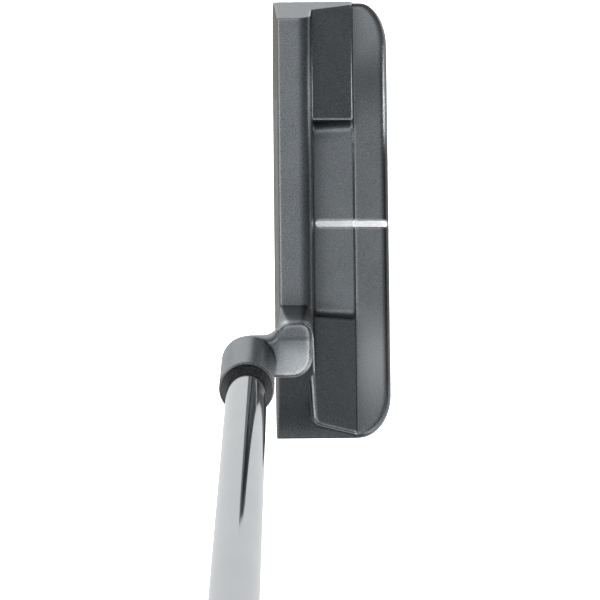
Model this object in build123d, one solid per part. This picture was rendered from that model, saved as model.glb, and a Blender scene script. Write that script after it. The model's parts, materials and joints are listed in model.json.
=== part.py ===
"""Heel-toe weighted blade putter with a crank neck.

Millimetres, +Z up.  The club stands at address: the sole rests on Z = 0 with the
origin at the centre of its flat, +X runs to the heel (towards the player), -Y is
the way the face looks, and the shaft leans towards +X at the lie angle.
"""

from build123d import *
import os
from math import atan2, cos, radians, sin, tan

# ---------------------------------------------------------------- head
HEAD_LENGTH = 114.0
HEAD_DEPTH = 30.2
HEAD_HEIGHT = 26.0
LOFT = 3.5                  # degrees the face looks up
LEAD_Y = -HEAD_DEPTH / 2    # leading edge of the face
HALF = HEAD_LENGTH / 2

TOPLINE_REAR = 9.9          # all "depths" are measured back from the leading edge
TOPLINE_ROUND = 3.5
WALL_FOOT = 10.3
BUMPER_FRONT_Z = 17.6
BUMPER_REAR_Z = 12.8
BUMPER_REAR = 20.75
FLANGE_FRONT = 21.05
FLANGE_FRONT_Z = 8.6
FLANGE_SLOPE = 0.115        # drop per millimetre towards the back
FLOOR_FRONT_Z = 9.5
FLOOR_REAR_Z = 8.95
BEVEL_Z = 5.4               # height of the rearmost outline
BEVEL_DROP = 2.6
BEVEL_WIDTH = 1.4
BEVEL_ROUND = 2.0
RIM_ROUND = 1.5
TOE_CORNER = (11.4, 7.0)    # rear corners: reach along X, reach along Y
HEEL_CORNER = (11.4, 8.8)

TOE_TOP_INSET = 7.6         # the toe end leans in by this much at the topline
TOE_LEAN_Z = 9.0
TOE_WIDEST_Z = 6.5
HEEL_WIDEST_Z = 6.5
SOLE_FLAT = 14.0            # half length of the level part of the sole
SOLE_RADIUS = 295.0         # camber from the flat towards heel and toe
TOE_CURL_X = 53.0           # where the camber turns up into each end
HEEL_CURL_X = 53.0

CAVITY_TOE = -24.6
CAVITY_HEEL = 26.0
CAVITY_SPLAY = 0.6
CAVITY_FILLET = 3.0
SEAM_WIDTH = 0.4
SEAM_DEPTH = 0.25

RAMP_START = 26.0           # where the topline begins to fall behind the neck
RAMP_MEETS_X = 41.0         # where the ramp drops below the heel bumper
RAMP_END_Z = 7.2
BUMPER_START = 31.0         # buried end of the raised heel bumper
BUMPER_FOOT_Z = 5.0
BUMPER_ROUND = 1.0
HEEL_BUMPER_CORNER = 53.4

# ---------------------------------------------------------------- shaft line and neck
LIE = 70.0
SHAFT_GROUND_X = 18.7       # where the shaft's axis meets the ground
SHAFT_Y = LEAD_Y - 5.8
HOSEL_OD = 12.85
HOSEL_RIM = 80.8            # all "stations" run up the shaft's axis from the ground
HOSEL_FOOT = 55.3
HOSEL_FOOT_ROUND = 4.8
ARM_TOP = 59.7
ARM_FOOT = 53.0
ARM_TOE = -5.3              # side offsets from the shaft's axis, + towards the heel
ARM_HEEL = 4.2
ARM_SWEEP = 4.0             # radius of the arm's concave sweep into the post
ARM_SWEEP_START = 3.45
ARM_SWEEP_END = (-7.46, 7.0)
CREASE_SIDE = -5.5          # ridge between the elbow's shelf and its toe shoulder
CREASE_ROUND = 2.5
SHOULDER_SIDE = -8.95
SHOULDER_TOP = 57.6
SHOULDER_ROUND = 1.3
POST_BACK = 15.3            # behind the shaft's axis
POST_SECTIONS = (
    # station, toe side, front, front toe corner, back toe corner, back heel corner
    (16.0, -2.5, 7.4, 0.8, 1.6, 3.0),
    (28.0, -4.4, 7.4, 0.8, 1.8, 3.4),
    (42.0, -6.5, 7.3, 1.6, 2.2, 4.0),
    (52.0, -8.0, 7.0, 2.8, 2.6, 4.6),
    (62.0, -9.4, 6.6, 3.6, 2.8, 5.0),
)

# ---------------------------------------------------------------- shaft, grip and small parts
SHAFT_TIP_OD = 9.4
SHAFT_BUTT_OD = 15.0
SHAFT_WALL = 0.55
SHAFT_STEPS = 12
FIRST_STEP = 276.0
STEP_PITCH = 24.0
STEP_RAMP = 1.5
BORE_OD = 9.8
BORE_FOOT = 59.0
COLLAR_OD = 12.0
COLLAR_DEPTH = 3.0
COLLAR_RISE = 2.0           # how far the collar climbs the shaft past its outer land
COLLAR_STEPS = 4

CLUB_LENGTH = 864.0         # 34 in from the ground to the end of the grip
GRIP_LENGTH = 267.0
GRIP_MOUTH = CLUB_LENGTH - GRIP_LENGTH
TAPE_THICK = 0.25
BAND_START = 548.0
BAND_LENGTH = 40.0
BAND_THICK = 0.12
CAP_FOOT = CLUB_LENGTH - 4.0
TAPE_INSET = 3.0            # bare shaft at each end of the tape
VENT_D = 3.0
GRIP_SECTIONS = (
    # run up from the mouth, width, thumb flat, back (both from the shaft's axis)
    (0.0, 19.6, 9.2, 9.9),
    (65.75, 21.9, 9.6, 11.2),
    (131.5, 23.8, 10.0, 12.3),
    (197.25, 25.3, 10.6, 14.0),
    (263.0, 25.9, 10.9, 15.4),
)
CAP_TOP_SECTION = (267.0, 22.9, 9.9, 13.4)

# ---------------------------------------------------------------- face insert and sight line
INSERT_LENGTH = 62.0
INSERT_HEIGHT = 16.0
INSERT_CORNER = 5.0
INSERT_THICK = 4.8
INSERT_BOND = 0.2
INSERT_Z = 13.2
LINE_X = 1.4
LINE_WIDTH = 1.65
LINE_FRONT = 10.9
LINE_REAR = 29.7
LINE_DEPTH = 0.6
LINE_SUNK = 0.05

LEAN = 90.0 - LIE
AXIS = Vector(sin(radians(LEAN)), 0, cos(radians(LEAN)))
SIDE = Vector(cos(radians(LEAN)), 0, -sin(radians(LEAN)))
SHAFT_LINE = Plane(origin=(SHAFT_GROUND_X, SHAFT_Y, 0), x_dir=SIDE, z_dir=AXIS)


def y_at(depth):
    """Y of a point this far behind the leading edge."""
    return LEAD_Y + depth


def across(points, x_low, x_high):
    """Solid from a depth-height outline, run along X."""
    wire = Polyline([(x_low, y_at(d), z) for d, z in points], close=True)
    return extrude(make_face(wire), amount=x_high - x_low, dir=(1, 0, 0))


def outline_solid(edges, y_low, y_high):
    """Solid from edges drawn in the X-Z plane at Y = 0, run along Y."""
    face = Pos(0, y_low, 0) * make_face(edges)
    return extrude(face, amount=y_high - y_low, dir=(0, 1, 0))


def plan_face(rear, toe_corner, heel_corner, z):
    """Plan of the head with its rounded rear corners, at height z."""
    y_back = y_at(rear)
    y_front = y_at(-2.0)
    toe_x, toe_y = toe_corner
    heel_x, heel_y = heel_corner
    toe_centre = (-HALF + toe_x, y_back - toe_y)
    heel_centre = (HALF - heel_x, y_back - heel_y)
    edges = [
        Line((-HALF, y_front), (-HALF, toe_centre[1])),
        EllipticalCenterArc(toe_centre, toe_x, toe_y, start_angle=90, arc_size=90),
        Line((toe_centre[0], y_back), (heel_centre[0], y_back)),
        EllipticalCenterArc(heel_centre, heel_x, heel_y, start_angle=0, arc_size=90),
        Line((HALF, heel_centre[1]), (HALF, y_front)),
        Line((HALF, y_front), (-HALF, y_front)),
    ]
    return Pos(0, 0, z) * make_face(edges)


def narrowed(corner, amount):
    """A rear corner with less reach along Y."""
    return (corner[0], corner[1] - amount)


def rounded_plan():
    """The plan run up through the sole's tuck, the rear bevel and straight on up."""
    top_z = FLANGE_FRONT_Z + 0.2
    inset = BEVEL_WIDTH * (top_z - BEVEL_Z) / BEVEL_DROP
    sole = plan_face(HEAD_DEPTH - 2.0, narrowed(TOE_CORNER, 2.0), narrowed(HEEL_CORNER, 2.0), 0)
    widest = plan_face(HEAD_DEPTH, TOE_CORNER, HEEL_CORNER, BEVEL_Z)
    top = plan_face(
        HEAD_DEPTH - inset, narrowed(TOE_CORNER, inset), narrowed(HEEL_CORNER, inset), top_z
    )
    tuck = loft([sole, widest], ruled=True)
    bevel = loft([widest, top], ruled=True)
    upper = extrude(top, amount=HEAD_HEIGHT, dir=(0, 0, 1))
    return tuck + bevel + upper


def edges_along_x(solid, depth, z, reach=0.15):
    """The edges that run along X through this depth and height."""
    return [
        e for e in solid.edges().filter_by(Axis.X)
        if abs(e.center().Y - y_at(depth)) < reach and abs(e.center().Z - z) < reach
    ]


def near(shape, places, reach=0.35):
    """The edges whose middles lie this close to the given places."""
    return [
        e for e in shape.edges()
        if any((e.center() - Vector(*place)).length < reach for place in places)
    ]


def cross_section():
    """Face, topline, rear wall, bumpers and flange in one outline."""
    rise = HEAD_HEIGHT * tan(radians(LOFT))
    flange_end = HEAD_DEPTH + 1.0
    flange_end_z = FLANGE_FRONT_Z - FLANGE_SLOPE * (flange_end - FLANGE_FRONT)
    points = [
        (1.2, 0),
        (0.06, 1.0),
        (rise, HEAD_HEIGHT),
        (TOPLINE_REAR, HEAD_HEIGHT),
        (WALL_FOOT, BUMPER_FRONT_Z),
        (BUMPER_REAR, BUMPER_REAR_Z),
        (FLANGE_FRONT, FLANGE_FRONT_Z),
        (flange_end, flange_end_z),
        (flange_end, 0),
    ]
    bar = across(points, -HALF - 1, HALF + 1)
    bar = fillet(edges_along_x(bar, TOPLINE_REAR, HEAD_HEIGHT), TOPLINE_ROUND)
    bar = fillet(edges_along_x(bar, rise, HEAD_HEIGHT), 0.4)
    bar = fillet(edges_along_x(bar, WALL_FOOT, BUMPER_FRONT_Z), 0.6)
    return fillet(edges_along_x(bar, BUMPER_REAR, BUMPER_REAR_Z), 0.4)


def camber_z(x):
    """Height of the sole this far from the middle."""
    return SOLE_RADIUS - (SOLE_RADIUS**2 - (abs(x) - SOLE_FLAT) ** 2) ** 0.5


def sole_half(curl_x, end_x, end_z):
    """Camber and upturned end of the sole on one side; curl_x and end_x carry the side's sign."""
    way = 1 if end_x > 0 else -1
    mid_x = way * (SOLE_FLAT + abs(curl_x)) / 2
    slope = (abs(curl_x) - SOLE_FLAT) / SOLE_RADIUS
    curl = (curl_x, 0, camber_z(curl_x))
    camber = ThreePointArc((way * SOLE_FLAT, 0, 0), (mid_x, 0, camber_z(mid_x)), curl)
    upturn = TangentArc(curl, (end_x, 0, end_z), tangent=(way, 0, slope))
    return [camber, upturn]


def front_view():
    """Cambered sole and the two ends; the toe end leans in towards the topline."""
    toe_top_x = -HALF + TOE_TOP_INSET
    roof_z = HEAD_HEIGHT + 1
    edges = [Line((-SOLE_FLAT, 0, 0), (SOLE_FLAT, 0, 0))]
    edges += sole_half(-TOE_CURL_X, -HALF, TOE_WIDEST_Z)
    edges += sole_half(HEEL_CURL_X, HALF, HEEL_WIDEST_Z)
    edges += [
        Line((HALF, 0, HEEL_WIDEST_Z), (HALF, 0, roof_z)),
        Line((HALF, 0, roof_z), (toe_top_x, 0, roof_z)),
        Line((toe_top_x, 0, roof_z), (toe_top_x, 0, HEAD_HEIGHT)),
        Line((toe_top_x, 0, HEAD_HEIGHT), (-HALF, 0, TOE_LEAN_Z)),
        Line((-HALF, 0, TOE_LEAN_Z), (-HALF, 0, TOE_WIDEST_Z)),
    ]
    return outline_solid(edges, y_at(-3), y_at(HEAD_DEPTH + 3))


def centre_cavity():
    """The low floor between the two bumpers, as the solid it removes."""
    plan = Polyline(
        [
            (CAVITY_TOE, y_at(WALL_FOOT)),
            (CAVITY_HEEL, y_at(WALL_FOOT)),
            (CAVITY_HEEL + CAVITY_SPLAY, y_at(FLANGE_FRONT)),
            (CAVITY_TOE - CAVITY_SPLAY, y_at(FLANGE_FRONT)),
        ],
        close=True,
    )
    block = extrude(make_face(plan), amount=40)
    above_floor = across(
        [
            (WALL_FOOT - 1, FLOOR_FRONT_Z + 0.05),
            (FLANGE_FRONT + 1, FLOOR_REAR_Z - 0.05),
            (FLANGE_FRONT + 1, 30),
            (WALL_FOOT - 1, 30),
        ],
        -HALF,
        HALF,
    )
    tool = block & above_floor
    foot_edges = [e for e in tool.edges() if e.length > 9 and e.length < 12 and e.center().Z < 12]
    return fillet(foot_edges, CAVITY_FILLET)


def ramp_curve():
    """Line the topline follows from behind the neck down to the heel."""
    return Spline(
        (RAMP_START, 0, HEAD_HEIGHT),
        (33.5, 0, 22.2),
        (RAMP_MEETS_X, 0, BUMPER_FRONT_Z + 0.1),
        (50.0, 0, 12.0),
        (HALF + 1, 0, RAMP_END_Z - 0.4),
        tangents=((1, 0, -0.25), (1, 0, -0.5)),
    )


def heel_ramp():
    """The fall of the topline from the neck to the heel, as the solid it removes."""
    curve = ramp_curve()
    start = curve @ 0
    end = curve @ 1
    edges = [
        curve,
        Line(end, (end.X, 0, 40)),
        Line((end.X, 0, 40), (start.X, 0, 40)),
        Line((start.X, 0, 40), start),
    ]
    return outline_solid(edges, y_at(-3), y_at(FLANGE_FRONT))


def heel_bumper():
    """Bumper that stands proud of the ramp, with its outline rounded over."""
    slope = (BUMPER_FRONT_Z - BUMPER_REAR_Z) / (BUMPER_REAR - WALL_FOOT)
    front = 7.0
    bar = across(
        [
            (front, BUMPER_FOOT_Z),
            (front, BUMPER_REAR_Z + slope * (BUMPER_REAR - front)),
            (BUMPER_REAR, BUMPER_REAR_Z),
            (FLANGE_FRONT, FLANGE_FRONT_Z),
            (FLANGE_FRONT, BUMPER_FOOT_Z),
        ],
        BUMPER_START,
        HALF,
    )
    plan = make_face(
        Polyline(
            [
                (BUMPER_START, y_at(8.35)),
                (HEEL_BUMPER_CORNER, y_at(9.6)),
                (56.4, y_at(FLANGE_FRONT + 1)),
                (BUMPER_START, y_at(FLANGE_FRONT + 1)),
            ],
            close=True,
        )
    )
    corner = [v for v in plan.vertices() if abs(v.X - HEEL_BUMPER_CORNER) < 0.01]
    bumper = bar & extrude(fillet(corner, 2.5), amount=50)
    outline = [
        e for e in bumper.edges()
        if e.center().Z > BUMPER_REAR_Z + 0.2
        and e.center().X > BUMPER_START + 1
        and e.bounding_box().size.Z < 7
    ]
    return fillet(outline, BUMPER_ROUND)


def flange_seam():
    """Fine groove at the foot of the bumpers, the full length of the head."""
    return across(
        [
            (FLANGE_FRONT - 0.1, FLANGE_FRONT_Z + 0.1),
            (FLANGE_FRONT + SEAM_WIDTH / 2, FLANGE_FRONT_Z - SEAM_DEPTH),
            (FLANGE_FRONT + SEAM_WIDTH, FLANGE_FRONT_Z + 0.1),
        ],
        -HALF - 2,
        HALF + 2,
    )


def rear_edges(solid, low, high):
    """The long edges round the back of the flange whose middles lie between two heights."""
    return [
        e for e in solid.edges()
        if e.center().Y > y_at(FLANGE_FRONT) and low < e.center().Z < high and e.length > 8
    ]


def head_blank():
    """Head without its neck, groove, bore and insert pocket."""
    blank = rounded_plan() & cross_section() & front_view()
    blank = fillet(rear_edges(blank, BEVEL_Z + 2, FLANGE_FRONT_Z - 0.1), BEVEL_ROUND)
    blank = fillet(rear_edges(blank, BEVEL_Z - 0.1, BEVEL_Z + 0.1), RIM_ROUND)
    blank -= centre_cavity()
    blank -= heel_ramp()
    blank += heel_bumper()
    cavity_ends = [(26.29, 0.41, 15.17), (-24.89, 0.41, 15.17)]
    blank = fillet(near(blank, cavity_ends), 0.5)
    wall_foot = [(0.70, -4.80, 9.50), (-23.72, -4.80, 10.38), (25.12, -4.80, 10.38)]
    return fillet(near(blank, wall_foot), 0.6)


def post_section(station, toe, front, front_toe, back_toe, back_heel):
    """One level slice of the post: a rectangle whose corners each have their own radius."""
    slice_face = make_face(
        Polyline(
            [(toe, front), (ARM_HEEL, front), (ARM_HEEL, POST_BACK), (toe, POST_BACK)], close=True
        )
    )
    for x, y, radius in (
        (toe, front, front_toe),
        (ARM_HEEL, front, 0.8),
        (ARM_HEEL, POST_BACK, back_heel),
        (toe, POST_BACK, back_toe),
    ):
        corner = [v for v in slice_face.vertices() if abs(v.X - x) < 0.01 and abs(v.Y - y) < 0.01]
        slice_face = fillet(corner, radius)
    return Pos(0, 0, station) * slice_face


def neck_post():
    """Post on the topline, widening upwards past the elbow's shelf."""
    return loft([post_section(*row) for row in POST_SECTIONS])


def neck_arm():
    """Bar from the elbow forward to the socket, sweeping into the post on its toe side."""
    start = (ARM_TOE, ARM_SWEEP_START)
    centre_side = ARM_TOE - ARM_SWEEP
    turn = atan2(ARM_SWEEP_END[1] - start[1], ARM_SWEEP_END[0] - centre_side) / 2
    middle = (centre_side + ARM_SWEEP * cos(turn), start[1] + ARM_SWEEP * sin(turn))
    back = POST_BACK - 5
    plan = make_face(
        [
            Line((ARM_TOE, 0), start),
            ThreePointArc(start, middle, ARM_SWEEP_END),
            Line(ARM_SWEEP_END, (ARM_SWEEP_END[0], back)),
            Line((ARM_SWEEP_END[0], back), (ARM_HEEL, back)),
            Line((ARM_HEEL, back), (ARM_HEEL, 0)),
            Line((ARM_HEEL, 0), (ARM_TOE, 0)),
        ]
    )
    bar = Pos(0, 0, ARM_FOOT) * extrude(plan, amount=ARM_TOP - ARM_FOOT)
    bar = fillet(level_edges(bar, ARM_TOP, ARM_TOE), 2.0)
    under = level_edges(bar, ARM_FOOT, ARM_TOE)
    under += [e for e in bar.edges().filter_by(Axis.Y) if e.center().X > ARM_HEEL - 0.1]
    return fillet([e for e in under if abs(e.center().Z - ARM_FOOT) < 0.01], 2.6)


def level_edges(block, station, side):
    """The arm's toe-side edges at one station, from the socket to the end of the sweep."""
    return [
        e for e in block.edges()
        if abs(e.center().Z - station) < 0.01
        and e.center().X < side + 0.01
        and e.center().Y < ARM_SWEEP_END[1] - 0.3
    ]


def above_elbow():
    """Everything over the shelf and its toe shoulder, as the solid it removes."""
    over = 70.0
    outline = Polyline(
        [
            (SHOULDER_SIDE - 0.4, 0, 48),
            (SHOULDER_SIDE, 0, SHOULDER_TOP),
            (CREASE_SIDE, 0, ARM_TOP),
            (9, 0, ARM_TOP),
            (9, 0, over),
            (SHOULDER_SIDE - 9, 0, over),
            (SHOULDER_SIDE - 9, 0, 48),
        ],
        close=True,
    )
    profile = make_face(outline)
    shoulder = [v for v in profile.vertices() if abs(v.X - SHOULDER_SIDE) < 0.01]
    profile = fillet(shoulder, SHOULDER_ROUND)
    crease = [v for v in profile.vertices() if abs(v.X - CREASE_SIDE) < 0.01]
    profile = fillet(crease, CREASE_ROUND)
    return extrude(profile, amount=POST_BACK + 5, dir=(0, 1, 0))


def socket():
    """Tube that holds the shaft, with a rounded foot."""
    tube = Pos(0, 0, HOSEL_FOOT) * Cylinder(
        HOSEL_OD / 2, HOSEL_RIM - HOSEL_FOOT, align=(Align.CENTER, Align.CENTER, Align.MIN)
    )
    tube = fillet(tube.edges().sort_by(Axis.Z)[0], HOSEL_FOOT_ROUND)
    return fillet(tube.edges().sort_by(Axis.Z)[-1], 0.6)


def crank_neck():
    """Post, arm and socket as one body in the neck's own frame."""
    neck = neck_post() + neck_arm() - above_elbow() + socket()
    shelf = [(4.20, 8.92), (2.75, 13.85), (-3.13, 15.30), (4.20, 6.16)]
    return fillet(near(neck, [(side, behind, ARM_TOP) for side, behind in shelf], 0.6), 0.8)


def rod(diameter, low, high):
    """Cylinder along the shaft's axis, between two stations, in the neck's own frame."""
    seat = (Align.CENTER, Align.CENTER, Align.MIN)
    return Pos(0, 0, low) * Cylinder(diameter / 2, high - low, align=seat)


def ring(outer, inner, low, high):
    """Tube along the shaft's axis, between two stations, in the neck's own frame."""
    return rod(outer, low, high) - rod(inner, low, high)


def line_slot():
    """Round-ended slot that bounds the sight line, standing through the head."""
    middle = y_at((LINE_FRONT + LINE_REAR) / 2)
    slot = SlotOverall(LINE_REAR - LINE_FRONT, LINE_WIDTH, rotation=90)
    return extrude(Pos(LINE_X, middle, 3) * slot, amount=12)


def face_plane():
    """Plane of the face at the insert's centre, looking out of the face."""
    depth = INSERT_Z * tan(radians(LOFT))
    normal = (0, -cos(radians(LOFT)), sin(radians(LOFT)))
    return Plane(origin=(0, y_at(depth), INSERT_Z), x_dir=(1, 0, 0), z_dir=normal)


def insert_block(shrink, low, high):
    """Rounded plate in the face's plane between two depths below it."""
    plate = RectangleRounded(
        INSERT_LENGTH - 2 * shrink, INSERT_HEIGHT - 2 * shrink, INSERT_CORNER - shrink
    )
    return face_plane() * (Pos(0, 0, -high) * extrude(plate, amount=high - low))


def face_insert():
    """Elastomer striking plate, flush with the face."""
    return insert_block(INSERT_BOND, 0, INSERT_THICK)


def insert_adhesive():
    """Bond behind and round the insert."""
    return insert_block(0, 0, INSERT_THICK + INSERT_BOND) - face_insert()


def sight_line(blank):
    """Paint in the sight line's groove, just under the surface it follows."""
    surface = Pos(0, 0, -LINE_SUNK) * blank
    return (line_slot() & surface) - Pos(0, 0, -LINE_DEPTH) * blank


def head_body(blank):
    """Head and crank neck in one casting, with its groove, bore and insert pocket."""
    head = blank - flange_seam()
    head -= line_slot() - Pos(0, 0, -LINE_DEPTH) * blank
    head += SHAFT_LINE * crank_neck()
    mouth = rod(COLLAR_OD, HOSEL_RIM - COLLAR_DEPTH, HOSEL_RIM + 1)
    head -= SHAFT_LINE * (rod(BORE_OD, BORE_FOOT, HOSEL_RIM + 1) + mouth)
    return head - insert_block(0, -1, INSERT_THICK + INSERT_BOND)


def hosel_collar():
    """Dark ferrule in the hosel's mouth, climbing the shaft in fine steps."""
    low = HOSEL_RIM - COLLAR_DEPTH
    tip = SHAFT_TIP_OD / 2
    radius = COLLAR_OD / 2
    station = HOSEL_RIM - 0.3
    fall = (radius - tip - 0.15) / COLLAR_STEPS
    outline = [(tip, 0, low), (radius, 0, low), (radius, 0, station)]
    for _ in range(COLLAR_STEPS):
        radius -= fall
        outline.append((radius, 0, station))
        station += COLLAR_RISE / COLLAR_STEPS
        outline.append((radius, 0, station))
    outline.append((tip, 0, station))
    return SHAFT_LINE * revolve(make_face(Polyline(outline, close=True)), axis=Axis.Z)


def hosel_adhesive():
    """Epoxy film between the shaft and the bore."""
    return SHAFT_LINE * ring(BORE_OD, SHAFT_TIP_OD, BORE_FOOT, HOSEL_RIM - COLLAR_DEPTH)


def shaft():
    """Stepped steel tube from the hosel's bore to the cap of the grip."""
    gain = (SHAFT_BUTT_OD - SHAFT_TIP_OD) / 2 / SHAFT_STEPS
    radius = SHAFT_TIP_OD / 2
    outside = [(radius, 0, BORE_FOOT)]
    for step in range(SHAFT_STEPS):
        station = FIRST_STEP + step * STEP_PITCH
        outside += [(radius, 0, station), (radius + gain, 0, station + STEP_RAMP)]
        radius += gain
    outside.append((radius, 0, CAP_FOOT))
    inside = [(r - SHAFT_WALL, 0, z) for r, _, z in reversed(outside)]
    profile = make_face(Polyline(outside + inside, close=True))
    return SHAFT_LINE * revolve(profile, axis=Axis.Z)


def shaft_band():
    """Plain label sleeve just below the grip."""
    outer = SHAFT_BUTT_OD + 2 * BAND_THICK
    return SHAFT_LINE * ring(outer, SHAFT_BUTT_OD, BAND_START, BAND_START + BAND_LENGTH)


def grip_tape():
    """Double-sided tape sleeve between shaft and grip."""
    outer = SHAFT_BUTT_OD + 2 * TAPE_THICK
    return SHAFT_LINE * ring(outer, SHAFT_BUTT_OD, GRIP_MOUTH + TAPE_INSET, CAP_FOOT - TAPE_INSET)


def grip_section(run, width, flat, back):
    """D-shaped slice: a flat for the thumbs on the toe side, rounded towards the player."""
    half = width / 2
    edge = 0.60 * half
    cheek = -0.22 * flat
    corner = (-0.86 * flat, 0.90 * half)
    shape = [
        Line((-flat, -edge), (-flat, edge)),
        ThreePointArc((-flat, edge), corner, (cheek, half)),
        ThreePointArc((cheek, half), (back, 0), (cheek, -half)),
        ThreePointArc((cheek, -half), (corner[0], -corner[1]), (-flat, -edge)),
    ]
    return Pos(0, 0, GRIP_MOUTH + run) * make_face(shape)


def grip():
    """Moulded pistol grip, hollow for the taped shaft."""
    form = loft([grip_section(*row) for row in GRIP_SECTIONS])
    bore = rod(SHAFT_BUTT_OD, GRIP_MOUTH - 1, CAP_FOOT + 1)
    bore += rod(SHAFT_BUTT_OD + 2 * TAPE_THICK, GRIP_MOUTH + TAPE_INSET, CAP_FOOT - TAPE_INSET)
    return SHAFT_LINE * (form - bore)


def grip_cap():
    """Bonded end cap with its vent hole."""
    form = loft([grip_section(*GRIP_SECTIONS[-1]), grip_section(*CAP_TOP_SECTION)], ruled=True)
    return SHAFT_LINE * (form - rod(VENT_D, CAP_FOOT - 1, CLUB_LENGTH + 1))


if __name__ == "__main__":
    os.makedirs("parts", exist_ok=True)
    blank = head_blank()
    nodes = {
        "head_body": head_body(blank),
        "face_insert": face_insert(),
        "insert_adhesive": insert_adhesive(),
        "sight_line": sight_line(blank),
        "hosel_collar": hosel_collar(),
        "hosel_adhesive": hosel_adhesive(),
        "shaft": shaft(),
        "shaft_band": shaft_band(),
        "grip_tape": grip_tape(),
        "grip": grip(),
        "grip_cap": grip_cap(),
    }
    for name, shape in nodes.items():
        print(name, round(shape.volume, 2), len(shape.solids()), shape.is_valid)
        export_step(shape, f"parts/{name}.step")
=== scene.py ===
"""Looks for the crank-neck blade putter: satin gunmetal head, chromed shaft, rubber grip.

Metres, in the frame of the CAD model: origin under the middle of the sole, +X to the heel,
-Y the way the face looks, +Z up.
"""

import json
import math

import bpy
from mathutils import Matrix, Vector


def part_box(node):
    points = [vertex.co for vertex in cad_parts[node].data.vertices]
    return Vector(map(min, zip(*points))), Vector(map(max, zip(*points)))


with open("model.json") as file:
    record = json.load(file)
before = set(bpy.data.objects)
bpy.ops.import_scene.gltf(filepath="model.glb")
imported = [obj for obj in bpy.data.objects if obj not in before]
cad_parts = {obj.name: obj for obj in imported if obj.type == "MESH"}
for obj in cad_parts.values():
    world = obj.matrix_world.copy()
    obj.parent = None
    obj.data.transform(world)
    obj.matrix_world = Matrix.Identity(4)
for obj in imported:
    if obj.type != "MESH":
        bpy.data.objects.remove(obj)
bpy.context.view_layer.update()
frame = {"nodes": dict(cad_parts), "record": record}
nodes = frame["nodes"]

# ---------------------------------------------------------------- places on the club
grip_mount = [mount for mount in frame["record"]["mounts"] if mount["name"] == "grip"][0]
on_shaft = Vector(grip_mount["pos_m"])
SHAFT_AXIS = Vector(grip_mount["axis"]).normalized()
SHAFT_FOOT = on_shaft - SHAFT_AXIS * (on_shaft.z / SHAFT_AXIS.z)  # where the axis meets the ground

head_low, head_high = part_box("head_body")
TOE_X = head_low.x
HEEL_X = head_high.x
FLANGE_Z = 0.0086       # top of the flange
TOPLINE_Z = 0.0260
ELBOW_Z = 0.0500        # where the post turns into the crank's elbow
SOCKET_BACK_Y = SHAFT_FOOT.y + 0.0059
SHOULDER_X = 0.0300     # toe edge of the elbow's shoulder
CREASE_X = 0.0360       # between the shoulder and the elbow's shelf

# ---------------------------------------------------------------- colours
GUNMETAL = (0.255, 0.272, 0.288)
GUNMETAL_DEEP = (0.165, 0.178, 0.190)
# painted shade tone
PAINTED_SHADE_TONE = (0.05, 0.055, 0.06)
GLINT = (0.42, 0.43, 0.44)
# painted highlight tone
PAINTED_HIGHLIGHT = (0.52, 0.53, 0.54)
# edge wear tone, also serving as painted highlight
EDGE_WEAR_HIGHLIGHT = (0.88, 0.89, 0.90)
BARE_STEEL = (0.29, 0.268, 0.232)
CHROME = (0.60, 0.605, 0.615)
CHROME_WIPED = (0.57, 0.575, 0.585)
LABEL_BLACK = (0.018, 0.018, 0.020)
LABEL_BLACK_WORN = (0.026, 0.026, 0.028)
LABEL_SILVER = (0.60, 0.60, 0.61)
RUBBER = (0.022, 0.022, 0.024)
RUBBER_DUSTY = (0.030, 0.030, 0.032)
RUBBER_RAISED = (0.050, 0.050, 0.052)
INSERT_GREY = (0.095, 0.095, 0.092)
INSERT_GREY_DEEP = (0.075, 0.075, 0.072)
INSERT_GROOVE = (0.04, 0.04, 0.04)
SWEEP_WHITE = (0.93, 0.93, 0.93)
SWEEP_WHITEST = (0.95, 0.95, 0.95)

PLAIN_SKINS = {
    # node: material, two tones, roughness, scale of the grain's noise, depth of the grain
    "sight_line": ("line_paint", (0.54, 0.54, 0.55), (0.50, 0.50, 0.51), 0.42, 900.0, 0.00001),
    "hosel_collar": ("ferrule_black", (0.010, 0.011, 0.012), (0.016, 0.017, 0.018), 0.30, 1500.0, 0.00001),
    "insert_adhesive": ("bond_black", (0.02, 0.02, 0.02), (0.03, 0.03, 0.03), 0.5, 800.0, 0.00002),
    "hosel_adhesive": ("epoxy", (0.40, 0.36, 0.26), (0.34, 0.31, 0.23), 0.4, 800.0, 0.00002),
    "grip_tape": ("tape_weave", (0.62, 0.56, 0.42), (0.55, 0.50, 0.38), 0.8, 1500.0, 0.00005),
    "grip_cap": ("cap_rubber", (0.03, 0.03, 0.032), (0.04, 0.04, 0.042), 0.5, 900.0, 0.00003),
}

# ---------------------------------------------------------------- studio
STUDIO_LEVEL = 0.11
STUDIO_TINT = (0.97, 0.99, 1.0, 1.0)
GLOWS = (
    # direction, degrees from it to full and to none, radiance
    ((0.0, -0.10, 1.0), 10, 50, 0.55),
    ((0.60, 0.0, 0.80), 6, 17, 2.4),
    ((-0.60, 0.0, 0.80), 5, 15, 1.8),
    ((0.0, -0.66, 0.75), 8, 24, 2.6),
    ((0.75, 0.58, 0.30), 8, 18, 1.5),
    ((0.0, 0.77, 0.64), 8, 35, 0.12),
    ((0.0, 0.0, -1.0), 52, 70, 0.76),
)
PANELS = (
    # bearing, half width in degrees, radiance
    ((0.57, 0.82), 24, 0.7),
    ((-0.91, -0.42), 20, 0.8),
    ((-0.55, -0.84), 16, 0.8),
    ((0.75, -0.66), 16, 0.8),
)
PANEL_SOLID = 0.6           # share of a panel's width before it fades
PANEL_FOOT = (-0.55, -0.35)  # height of a direction: where the panels start and are full
PANEL_HEAD = (0.40, 0.20)   # where they end, and where they are still full

SWEEP_PROFILE = (
    # radius, height
    (0.0, 0.0), (6.0, 0.0), (7.2, 0.25), (7.8, 1.0), (8.0, 2.4), (8.0, 9.0),
)
SWEEP_TURNS = 48
SWEEP_DROP = 0.0004         # gap under the sole

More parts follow.
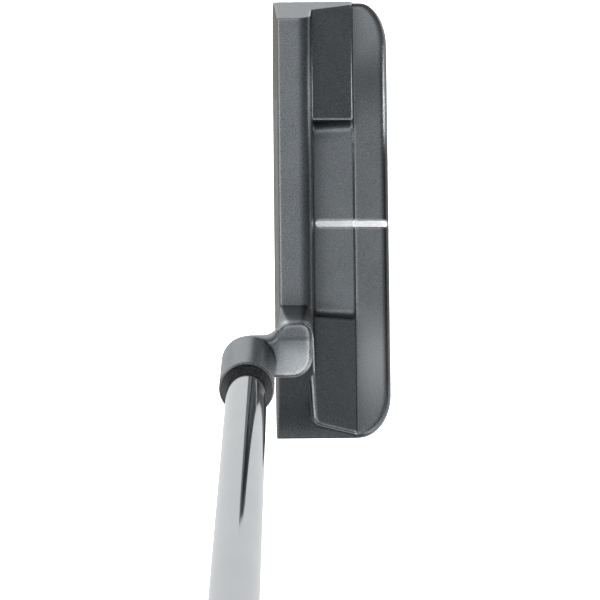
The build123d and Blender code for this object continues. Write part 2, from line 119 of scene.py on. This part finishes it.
CARD_PLACE = (-0.036, 0.050, 0.005)
CARD_AIM = (0.0, -1.0, 0.0)
CARD_SIZE = (0.018, 0.006)
CARD_WATTS = 0.0006
CARD_SPREAD = 50.0          # degrees

CAMERA_PLACE = (0.064075, -0.008523, 0.615142)
CAMERA_LENS = 140.70
CAMERA_ROLL = -0.010534     # radians, as are the next two
CAMERA_PITCH = -0.070713
CAMERA_YAW = -0.00018


class Graph:
    """A node tree with short calls for the nodes that the materials and the studio use."""

    def __init__(self, tree):
        self.tree = tree
        self.tree.nodes.clear()

    def add(self, kind, **facts):
        node = self.tree.nodes.new(kind)
        for key, value in facts.items():
            setattr(node, key, value)
        return node

    def link(self, start, end):
        self.tree.links.new(start, end)

    def feed(self, node, key, value):
        """Puts a number or another node's output on an input."""
        if isinstance(value, bpy.types.NodeSocket):
            self.link(value, node.inputs[key])
        else:
            node.inputs[key].default_value = value

    def math(self, operation, first, second=0.0):
        node = self.add("ShaderNodeMath", operation=operation)
        self.feed(node, 0, first)
        self.feed(node, 1, second)
        return node.outputs[0]

    def chain(self, operation, values):
        """One operation carried through a row of values."""
        result = values[0]
        for value in values[1:]:
            result = self.math(operation, result, value)
        return result

    def product(self, *values):
        return self.chain("MULTIPLY", values)

    def total(self, *values):
        return self.chain("ADD", values)

    def most(self, *values):
        return self.chain("MAXIMUM", values)

    def vector(self, operation, first, second=(0.0, 0.0, 0.0)):
        node = self.add("ShaderNodeVectorMath", operation=operation)
        self.link(first, node.inputs[0])
        node.inputs[1].default_value = second
        return node.outputs["Value" if operation == "DOT_PRODUCT" else "Vector"]

    def axes(self, vector):
        """The outputs X, Y and Z of a vector."""
        node = self.add("ShaderNodeSeparateXYZ")
        self.link(vector, node.inputs[0])
        return node.outputs

    def ramp(self, value, low, high, out_low=0.0, out_high=1.0, shape="LINEAR"):
        """A value carried from one range to another and held at its ends."""
        node = self.add("ShaderNodeMapRange", interpolation_type=shape)
        self.feed(node, "Value", value)
        ends = {"From Min": low, "From Max": high, "To Min": out_low, "To Max": out_high}
        for key, number in ends.items():
            node.inputs[key].default_value = number
        return node.outputs["Result"]

    def hump(self, value, centre, reach, height):
        """Smooth bump in a value: height at its centre, nothing beyond its reach."""
        away = self.math("ABSOLUTE", self.math("SUBTRACT", value, centre))
        return self.ramp(away, reach, 0.0, 0.0, height, "SMOOTHSTEP")

    def cone(self, way, axis, inner, outer, radiance):
        """Radiance within the inner angle of an axis, which fades to none at the outer one."""
        closeness = self.vector("DOT_PRODUCT", way, Vector(axis).normalized())
        low = math.cos(math.radians(outer))
        high = math.cos(math.radians(inner))
        return self.ramp(closeness, low, high, 0.0, radiance, "SMOOTHSTEP")


class Skin(Graph):
    """A material and its shader, with short calls for the detail on a surface."""

    def __init__(self, name):
        self.material = bpy.data.materials.new(name)
        self.material.use_nodes = True
        super().__init__(self.material.node_tree)
        self.shader = self.add("ShaderNodeBsdfPrincipled")
        output = self.add("ShaderNodeOutputMaterial")
        self.link(self.shader.outputs["BSDF"], output.inputs["Surface"])
        self.place = self.add("ShaderNodeTexCoord").outputs["Object"]

    def finished(self, colour, roughness, normal=None, metallic=0.0):
        """The material, once its shader has what the surface needs."""
        self.feed(self.shader, "Base Color", colour)
        self.feed(self.shader, "Roughness", roughness)
        if normal:
            self.link(normal, self.shader.inputs["Normal"])
        self.shader.inputs["Metallic"].default_value = metallic
        return self.material

    def noise(self, scale, detail=3.0, roughness=0.6):
        node = self.add("ShaderNodeTexNoise")
        self.link(self.place, node.inputs["Vector"])
        for key, number in (("Scale", scale), ("Detail", detail), ("Roughness", roughness)):
            node.inputs[key].default_value = number
        return node.outputs["Fac"]

    def wave(self, value, pitch):
        """Sine of a length, repeating at this pitch."""
        return self.math("SINE", self.product(value, 2.0 * math.pi / pitch))

    def up_shaft(self):
        """Distance from the ground along the shaft's axis."""
        from_foot = self.vector("SUBTRACT", self.place, SHAFT_FOOT)
        return self.vector("DOT_PRODUCT", from_foot, SHAFT_AXIS)

    def mix(self, factor, first, second):
        """One colour or colour output passing into another."""
        node = self.add("ShaderNodeMix", data_type="RGBA")
        self.feed(node, "Factor", factor)
        sockets = [socket for socket in node.inputs if socket.type == "RGBA"]
        for socket, colour in zip(sockets, (first, second)):
            if isinstance(colour, bpy.types.NodeSocket):
                self.link(colour, socket)
            else:
                socket.default_value = (*colour, 1.0)
        return [socket for socket in node.outputs if socket.type == "RGBA"][0]

    def bump(self, height, distance, normal=None):
        node = self.add("ShaderNodeBump")
        self.link(height, node.inputs["Height"])
        node.inputs["Distance"].default_value = distance
        node.inputs["Strength"].default_value = 1.0
        if normal:
            self.link(normal, node.inputs["Normal"])
        return node.outputs["Normal"]

    def soft_edges(self, radius):
        """Normals that round every sharp edge."""
        node = self.add("ShaderNodeBevel", samples=8)
        self.feed(node, "Radius", radius)
        return node.outputs["Normal"]

    def open_sky(self, distance, inside=False):
        """Ambient occlusion: low in recesses or, looked at from inside, along outer edges."""
        node = self.add("ShaderNodeAmbientOcclusion", samples=8, inside=inside, only_local=True)
        self.feed(node, "Distance", distance)
        return node.outputs["AO"]


def dress(node, material):
    """Gives a CAD node its material in every slot."""
    mesh = nodes[node].data
    mesh.materials.clear()
    mesh.materials.append(material)


def stations(node):
    """How far up the shaft's axis a CAD node starts and ends."""
    climbs = [(vertex.co - SHAFT_FOOT).dot(SHAFT_AXIS) for vertex in nodes[node].data.vertices]
    return min(climbs), max(climbs)


def gunmetal():
    """Dark satin plating over blasted steel, with painted highlights, painted shade and edges partly worn,
    partly painted bright; the face is bare.
    """
    g = Skin("gunmetal_satin")
    spot = g.axes(g.place)
    facing = g.axes(g.add("ShaderNodeNewGeometry").outputs["True Normal"])
    on_elbow = elbow(g, spot)
    bare = g.product(
        g.ramp(facing["Y"], -0.95, -0.99),
        g.ramp(spot["Z"], TOPLINE_Z + 0.0015, TOPLINE_Z + 0.0005),
    )
    cloud = g.noise(55.0)
    grain = g.noise(3200.0, roughness=0.65)
    fine = g.noise(5200.0, detail=2.0)
    speck = g.total(g.product(cloud, 0.3), g.product(grain, 0.7))

    tone = g.mix(g.ramp(speck, 0.40, 0.60), GUNMETAL_DEEP, GUNMETAL)
    tone = g.mix(g.ramp(fine, 0.50, 0.70, 0.0, 0.8), tone, GLINT)
    # painted highlights in the plating's colour
    tone = g.mix(painted_highlights(g, spot, facing, on_elbow), tone, PAINTED_HIGHLIGHT)
    # painted shade in the plating's colour
    tone = g.mix(shaded(g, spot, facing, on_elbow), tone, PAINTED_SHADE_TONE)
    # edge wear, partly painted highlight
    tone = g.mix(wear_and_highlights(g, spot, on_elbow), tone, EDGE_WEAR_HIGHLIGHT)
    tone = g.mix(bare, tone, BARE_STEEL)

    rough = g.total(g.ramp(fine, 0.3, 0.7, 0.24, 0.37), g.product(bare, 0.30))
    milling_pitch = 0.0007
    milling = g.product(g.wave(spot["Z"], milling_pitch), bare)
    pits = g.total(g.product(grain, 0.6), g.product(fine, 0.4), g.product(milling, 0.5))
    edges = g.soft_edges(g.ramp(spot["Z"], 0.020, 0.032, 0.0008, 0.0009))
    return g.finished(tone, rough, g.bump(pits, 0.00006, edges), metallic=1.0)


def elbow(g, spot):
    """1 on the top of the crank's elbow, behind the socket."""
    return g.product(
        g.ramp(spot["Y"], SOCKET_BACK_Y - 0.001, SOCKET_BACK_Y + 0.001),
        g.ramp(spot["Z"], ELBOW_Z, ELBOW_Z + 0.003),
    )


def flange(g, spot):
    """1 as low as the flange and its bevel."""
    return g.ramp(spot["Z"], FLANGE_Z + 0.0006, FLANGE_Z)


def painted_highlights(g, spot, facing, on_elbow):
    """Painted highlights: plating tone lighter where reflections fall on the flange's ends, the toe end
    and the elbow's shelf, and along the shoulder's edge.
    """
    heel = g.hump(spot["X"], HEEL_X - 0.020, 0.018, 0.75)
    toe = g.hump(spot["X"], TOE_X + 0.002, 0.022, 0.40)
    flange_ends = g.product(g.total(heel, toe), flange(g, spot))
    toe_end = g.ramp(facing["X"], -0.75, -0.85, 0.0, 0.30)
    shelf = g.ramp(spot["X"], CREASE_X - 0.0005, CREASE_X + 0.0040, 0.0, 0.35)
    # painted highlight along the elbow's toe-facing shoulder edge
    shoulder_highlight = g.ramp(facing["X"], -0.4, -0.6)
    return g.total(flange_ends, toe_end, g.product(on_elbow, g.total(shelf, shoulder_highlight)))


def shaded(g, spot, facing, on_elbow):
    """Painted shade, a darker plating tone where shade and dark reflections fall: recesses, low on the
    post, the ramp, the toe shoulder, a stretch of the flange and the rear bevel between its ends."""
    # painted shade in recesses, from ambient occlusion
    recess = g.ramp(g.open_sky(0.006), 0.35, 0.95, 0.80, 0.0)
    post = g.product(
        g.ramp(spot["Z"], TOPLINE_Z + 0.0002, TOPLINE_Z + 0.0015),
        g.ramp(spot["Z"], ELBOW_Z + 0.003, ELBOW_Z - 0.008),
    )
    ramp = g.product(
        g.ramp(facing["X"], 0.12, 0.25),
        g.hump(spot["X"], 0.033, 0.024, 0.85),
        g.ramp(spot["Z"], TOPLINE_Z + 0.004, TOPLINE_Z),
    )
    shoulder = g.product(on_elbow, g.ramp(spot["X"], CREASE_X + 0.0015, CREASE_X - 0.0015, 0.0, 0.45))
    on_flange = flange(g, spot)
    stretch = g.product(on_flange, g.hump(spot["X"], TOE_X + 0.021, 0.014, 0.50))
    bevel = g.product(
        on_flange,
        g.ramp(facing["Y"], 0.4, 0.6, 0.0, 0.6),
        g.ramp(spot["X"], TOE_X + 0.035, TOE_X + 0.040),
        g.ramp(spot["X"], HEEL_X - 0.010, HEEL_X - 0.015),
    )
    return g.most(recess, post, ramp, shoulder, stretch, bevel)


def wear_and_highlights(g, spot, on_elbow):
    """Partly edge wear, partly painted highlight: tone rubbed bright on the outer edges of the head and
    the elbow, with a painted highlight line along the shoulder's edge.
    """
    reach = g.total(g.product(on_elbow, 0.0013), 0.0009)
    edges = g.ramp(g.open_sky(reach, inside=True), 0.9, 0.45, 0.0, 0.9)
    # painted highlight line along the shoulder's toe edge
    shoulder_highlight = g.product(on_elbow, g.ramp(spot["X"], SHOULDER_X + 0.0003, SHOULDER_X - 0.0003))
    where = g.most(on_elbow, g.ramp(spot["Z"], ELBOW_Z, ELBOW_Z - 0.005))
    behind_face = g.ramp(spot["Y"], -0.0130, -0.0120, 0.3, 1.0)
    return g.product(g.most(edges, shoulder_highlight), where, behind_face)


def chrome():
    """Polished plating with the faintest drawing marks along the tube."""
    g = Skin("shaft_chrome")
    wipe = g.noise(90.0)
    tone = g.mix(g.ramp(wipe, 0.3, 0.7), CHROME, CHROME_WIPED)
    return g.finished(tone, g.ramp(wipe, 0.3, 0.7, 0.045, 0.075), metallic=1.0)


def plain(name, colour, other, roughness, grain_scale, grain_depth):
    """Speckled non-metal for paint, ferrule, adhesives, tape and cap."""
    g = Skin(name)
    grain = g.noise(grain_scale)
    tone = g.mix(g.ramp(grain, 0.35, 0.65), colour, other)
    rough = g.ramp(grain, 0.3, 0.7, roughness - 0.06, roughness + 0.06)
    return g.finished(tone, rough, g.bump(grain, grain_depth))


def grip_rubber():
    """Black rubber with rows of small raised pads, a bare margin line and ringed ends."""
    g = Skin("grip_rubber")
    mouth, butt = stations("grip")
    pads_start = mouth + 0.015
    pads_end = butt - 0.012
    pads_half_width = 0.0082
    pad_pitch = 0.0052
    ring_pitch = 0.0036
    up = g.up_shaft()
    across = g.math("SUBTRACT", g.axes(g.place)["Y"], SHAFT_FOOT.y)
    middle = g.product(
        g.ramp(up, pads_start, pads_start + 0.001),
        g.ramp(up, pads_end + 0.001, pads_end),
    )
    margin = g.ramp(g.math("ABSOLUTE", across), pads_half_width + 0.0006, pads_half_width)
    pads = g.ramp(g.product(g.wave(up, pad_pitch), g.wave(across, pad_pitch)), 0.10, 0.30)
    rings = g.ramp(g.wave(up, ring_pitch), 0.0, 0.4)
    relief = g.total(g.product(pads, margin, middle), g.product(rings, g.math("SUBTRACT", 1.0, middle)))
    dust = g.noise(900.0)
    tone = g.mix(g.ramp(dust, 0.35, 0.65), RUBBER, RUBBER_DUSTY)
    height = g.total(relief, g.product(dust, 0.15))
    return g.finished(
        g.mix(relief, tone, RUBBER_RAISED), g.ramp(dust, 0.3, 0.7, 0.55, 0.70), g.bump(height, 0.0003)
    )


def label_band():
    """Black shaft label with a fine silver line near each end."""
    g = Skin("band_black")
    foot, head = stations("shaft_band")
    line_inset = 0.004
    line_reach = 0.0009
    up = g.up_shaft()
    lines = g.total(
        g.hump(up, foot + line_inset, line_reach, 3.0), g.hump(up, head - line_inset, line_reach, 3.0)
    )
    gloss = g.noise(700.0, 2.0, 0.5)
    tone = g.mix(g.ramp(gloss, 0.3, 0.7), LABEL_BLACK, LABEL_BLACK_WORN)
    tone = g.mix(g.math("MINIMUM", lines, 1.0), tone, LABEL_SILVER)
    return g.finished(tone, g.ramp(gloss, 0.3, 0.7, 0.20, 0.28))


def insert_skin():
    """Dark elastomer with fine milled grooves along the face."""
    g = Skin("insert_elastomer")
    groove_pitch = 0.0012
    groove = g.ramp(g.wave(g.axes(g.place)["Z"], groove_pitch), 0.6, 0.9)
    grain = g.noise(1200.0)
    tone = g.mix(g.ramp(grain, 0.35, 0.65), INSERT_GREY, INSERT_GREY_DEEP)
    height = g.math("SUBTRACT", g.product(grain, 0.2), groove)
    return g.finished(
        g.mix(groove, tone, INSERT_GROOVE), g.ramp(grain, 0.3, 0.7, 0.48, 0.60), g.bump(height, 0.00008)
    )


def sweep():
    """White studio sweep: a wide floor that curves up into a pale wall all round."""
    points = []
    faces = []
    for ring, (radius, height) in enumerate(SWEEP_PROFILE):
        for turn in range(SWEEP_TURNS):
            angle = 2.0 * math.pi * turn / SWEEP_TURNS
            points.append((radius * math.cos(angle), radius * math.sin(angle), height))
            if ring:
                low = (ring - 1) * SWEEP_TURNS
                high = ring * SWEEP_TURNS
                after = (turn + 1) % SWEEP_TURNS
                faces.append((low + turn, low + after, high + after, high + turn))
    mesh = bpy.data.meshes.new("sweep")
    mesh.from_pydata(points, [], faces)
    sheet = bpy.data.objects.new("sweep", mesh)
    sheet.location.z = -SWEEP_DROP
    sheet.visible_glossy = False
    bpy.context.scene.collection.objects.link(sheet)
    g = Skin("sweep_white")
    g.shader.inputs["Emission Color"].default_value = (1.0, 1.0, 1.0, 1.0)
    g.shader.inputs["Emission Strength"].default_value = 1.0
    g.material.cycles.emission_sampling = "NONE"
    haze = g.noise(1.5, 2.0, 0.5)
    mesh.materials.append(g.finished(g.mix(haze, SWEEP_WHITE, SWEEP_WHITEST), 0.9))


def surroundings():
    """Dim studio with soft glows and upright panels low on the walls."""
    world = bpy.data.worlds.new("studio")
    world.use_nodes = True
    g = Graph(world.node_tree)
    way = g.add("ShaderNodeTexCoord").outputs["Generated"]
    level_way = g.vector("NORMALIZE", g.vector("MULTIPLY", way, (1.0, 1.0, 0.0)))
    height = g.axes(way)["Z"]
    low_wall = g.product(
        g.ramp(height, *PANEL_FOOT, shape="SMOOTHSTEP"),
        g.ramp(height, *PANEL_HEAD, shape="SMOOTHSTEP"),
    )
    shares = [STUDIO_LEVEL]
    for axis, inner, outer, radiance in GLOWS:
        shares.append(g.cone(way, axis, inner, outer, radiance))
    for bearing, half_width, radiance in PANELS:
        panel = g.cone(level_way, (*bearing, 0.0), PANEL_SOLID * half_width, half_width, radiance)
        shares.append(g.product(panel, low_wall))
    background = g.add("ShaderNodeBackground")
    background.inputs["Color"].default_value = STUDIO_TINT
    g.link(g.total(*shares), background.inputs["Strength"])
    g.link(background.outputs["Background"], g.add("ShaderNodeOutputWorld").inputs["Surface"])
    bpy.context.scene.world = world


def rim_card():
    """Small lit card beside the flange, out of the camera's sight, for the rear bevel's highlight."""
    light = bpy.data.lights.new("rim_card", "AREA")
    light.shape = "RECTANGLE"
    light.size, light.size_y = CARD_SIZE
    light.energy = CARD_WATTS
    light.spread = math.radians(CARD_SPREAD)
    lamp = bpy.data.objects.new("rim_card", light)
    lamp.location = CARD_PLACE
    lamp.rotation_euler = Vector(CARD_AIM).to_track_quat("-Z", "Y").to_euler()
    lamp.visible_camera = False
    bpy.context.scene.collection.objects.link(lamp)


def camera():
    """Looks down on the head from above the player's side, +Y to the right and +X down."""
    lens = bpy.data.cameras.new("camera")
    lens.sensor_width = 36.0
    lens.lens = CAMERA_LENS
    lens.clip_start = 0.01
    eye = bpy.data.objects.new("camera", lens)
    level = Matrix(((0, 1, 0), (1, 0, 0), (0, 0, -1)))  # rows: right, down, ahead
    roll = Matrix.Rotation(CAMERA_ROLL, 3, "Z")
    pitch = Matrix.Rotation(CAMERA_PITCH, 3, "X")
    yaw = Matrix.Rotation(CAMERA_YAW, 3, "Y")
    right, down, ahead = roll @ pitch @ yaw @ level
    turned = Matrix((right, -down, -ahead)).transposed()
    eye.matrix_world = Matrix.Translation(CAMERA_PLACE) @ turned.to_4x4()
    bpy.context.scene.collection.objects.link(eye)
    bpy.context.scene.camera = eye


dress("head_body", gunmetal())
dress("face_insert", insert_skin())
dress("shaft", chrome())
dress("shaft_band", label_band())
dress("grip", grip_rubber())
for node, look in PLAIN_SKINS.items():
    dress(node, plain(*look))

sweep()
surroundings()
rim_card()
camera()
bpy.context.scene.view_settings.view_transform = "Standard"
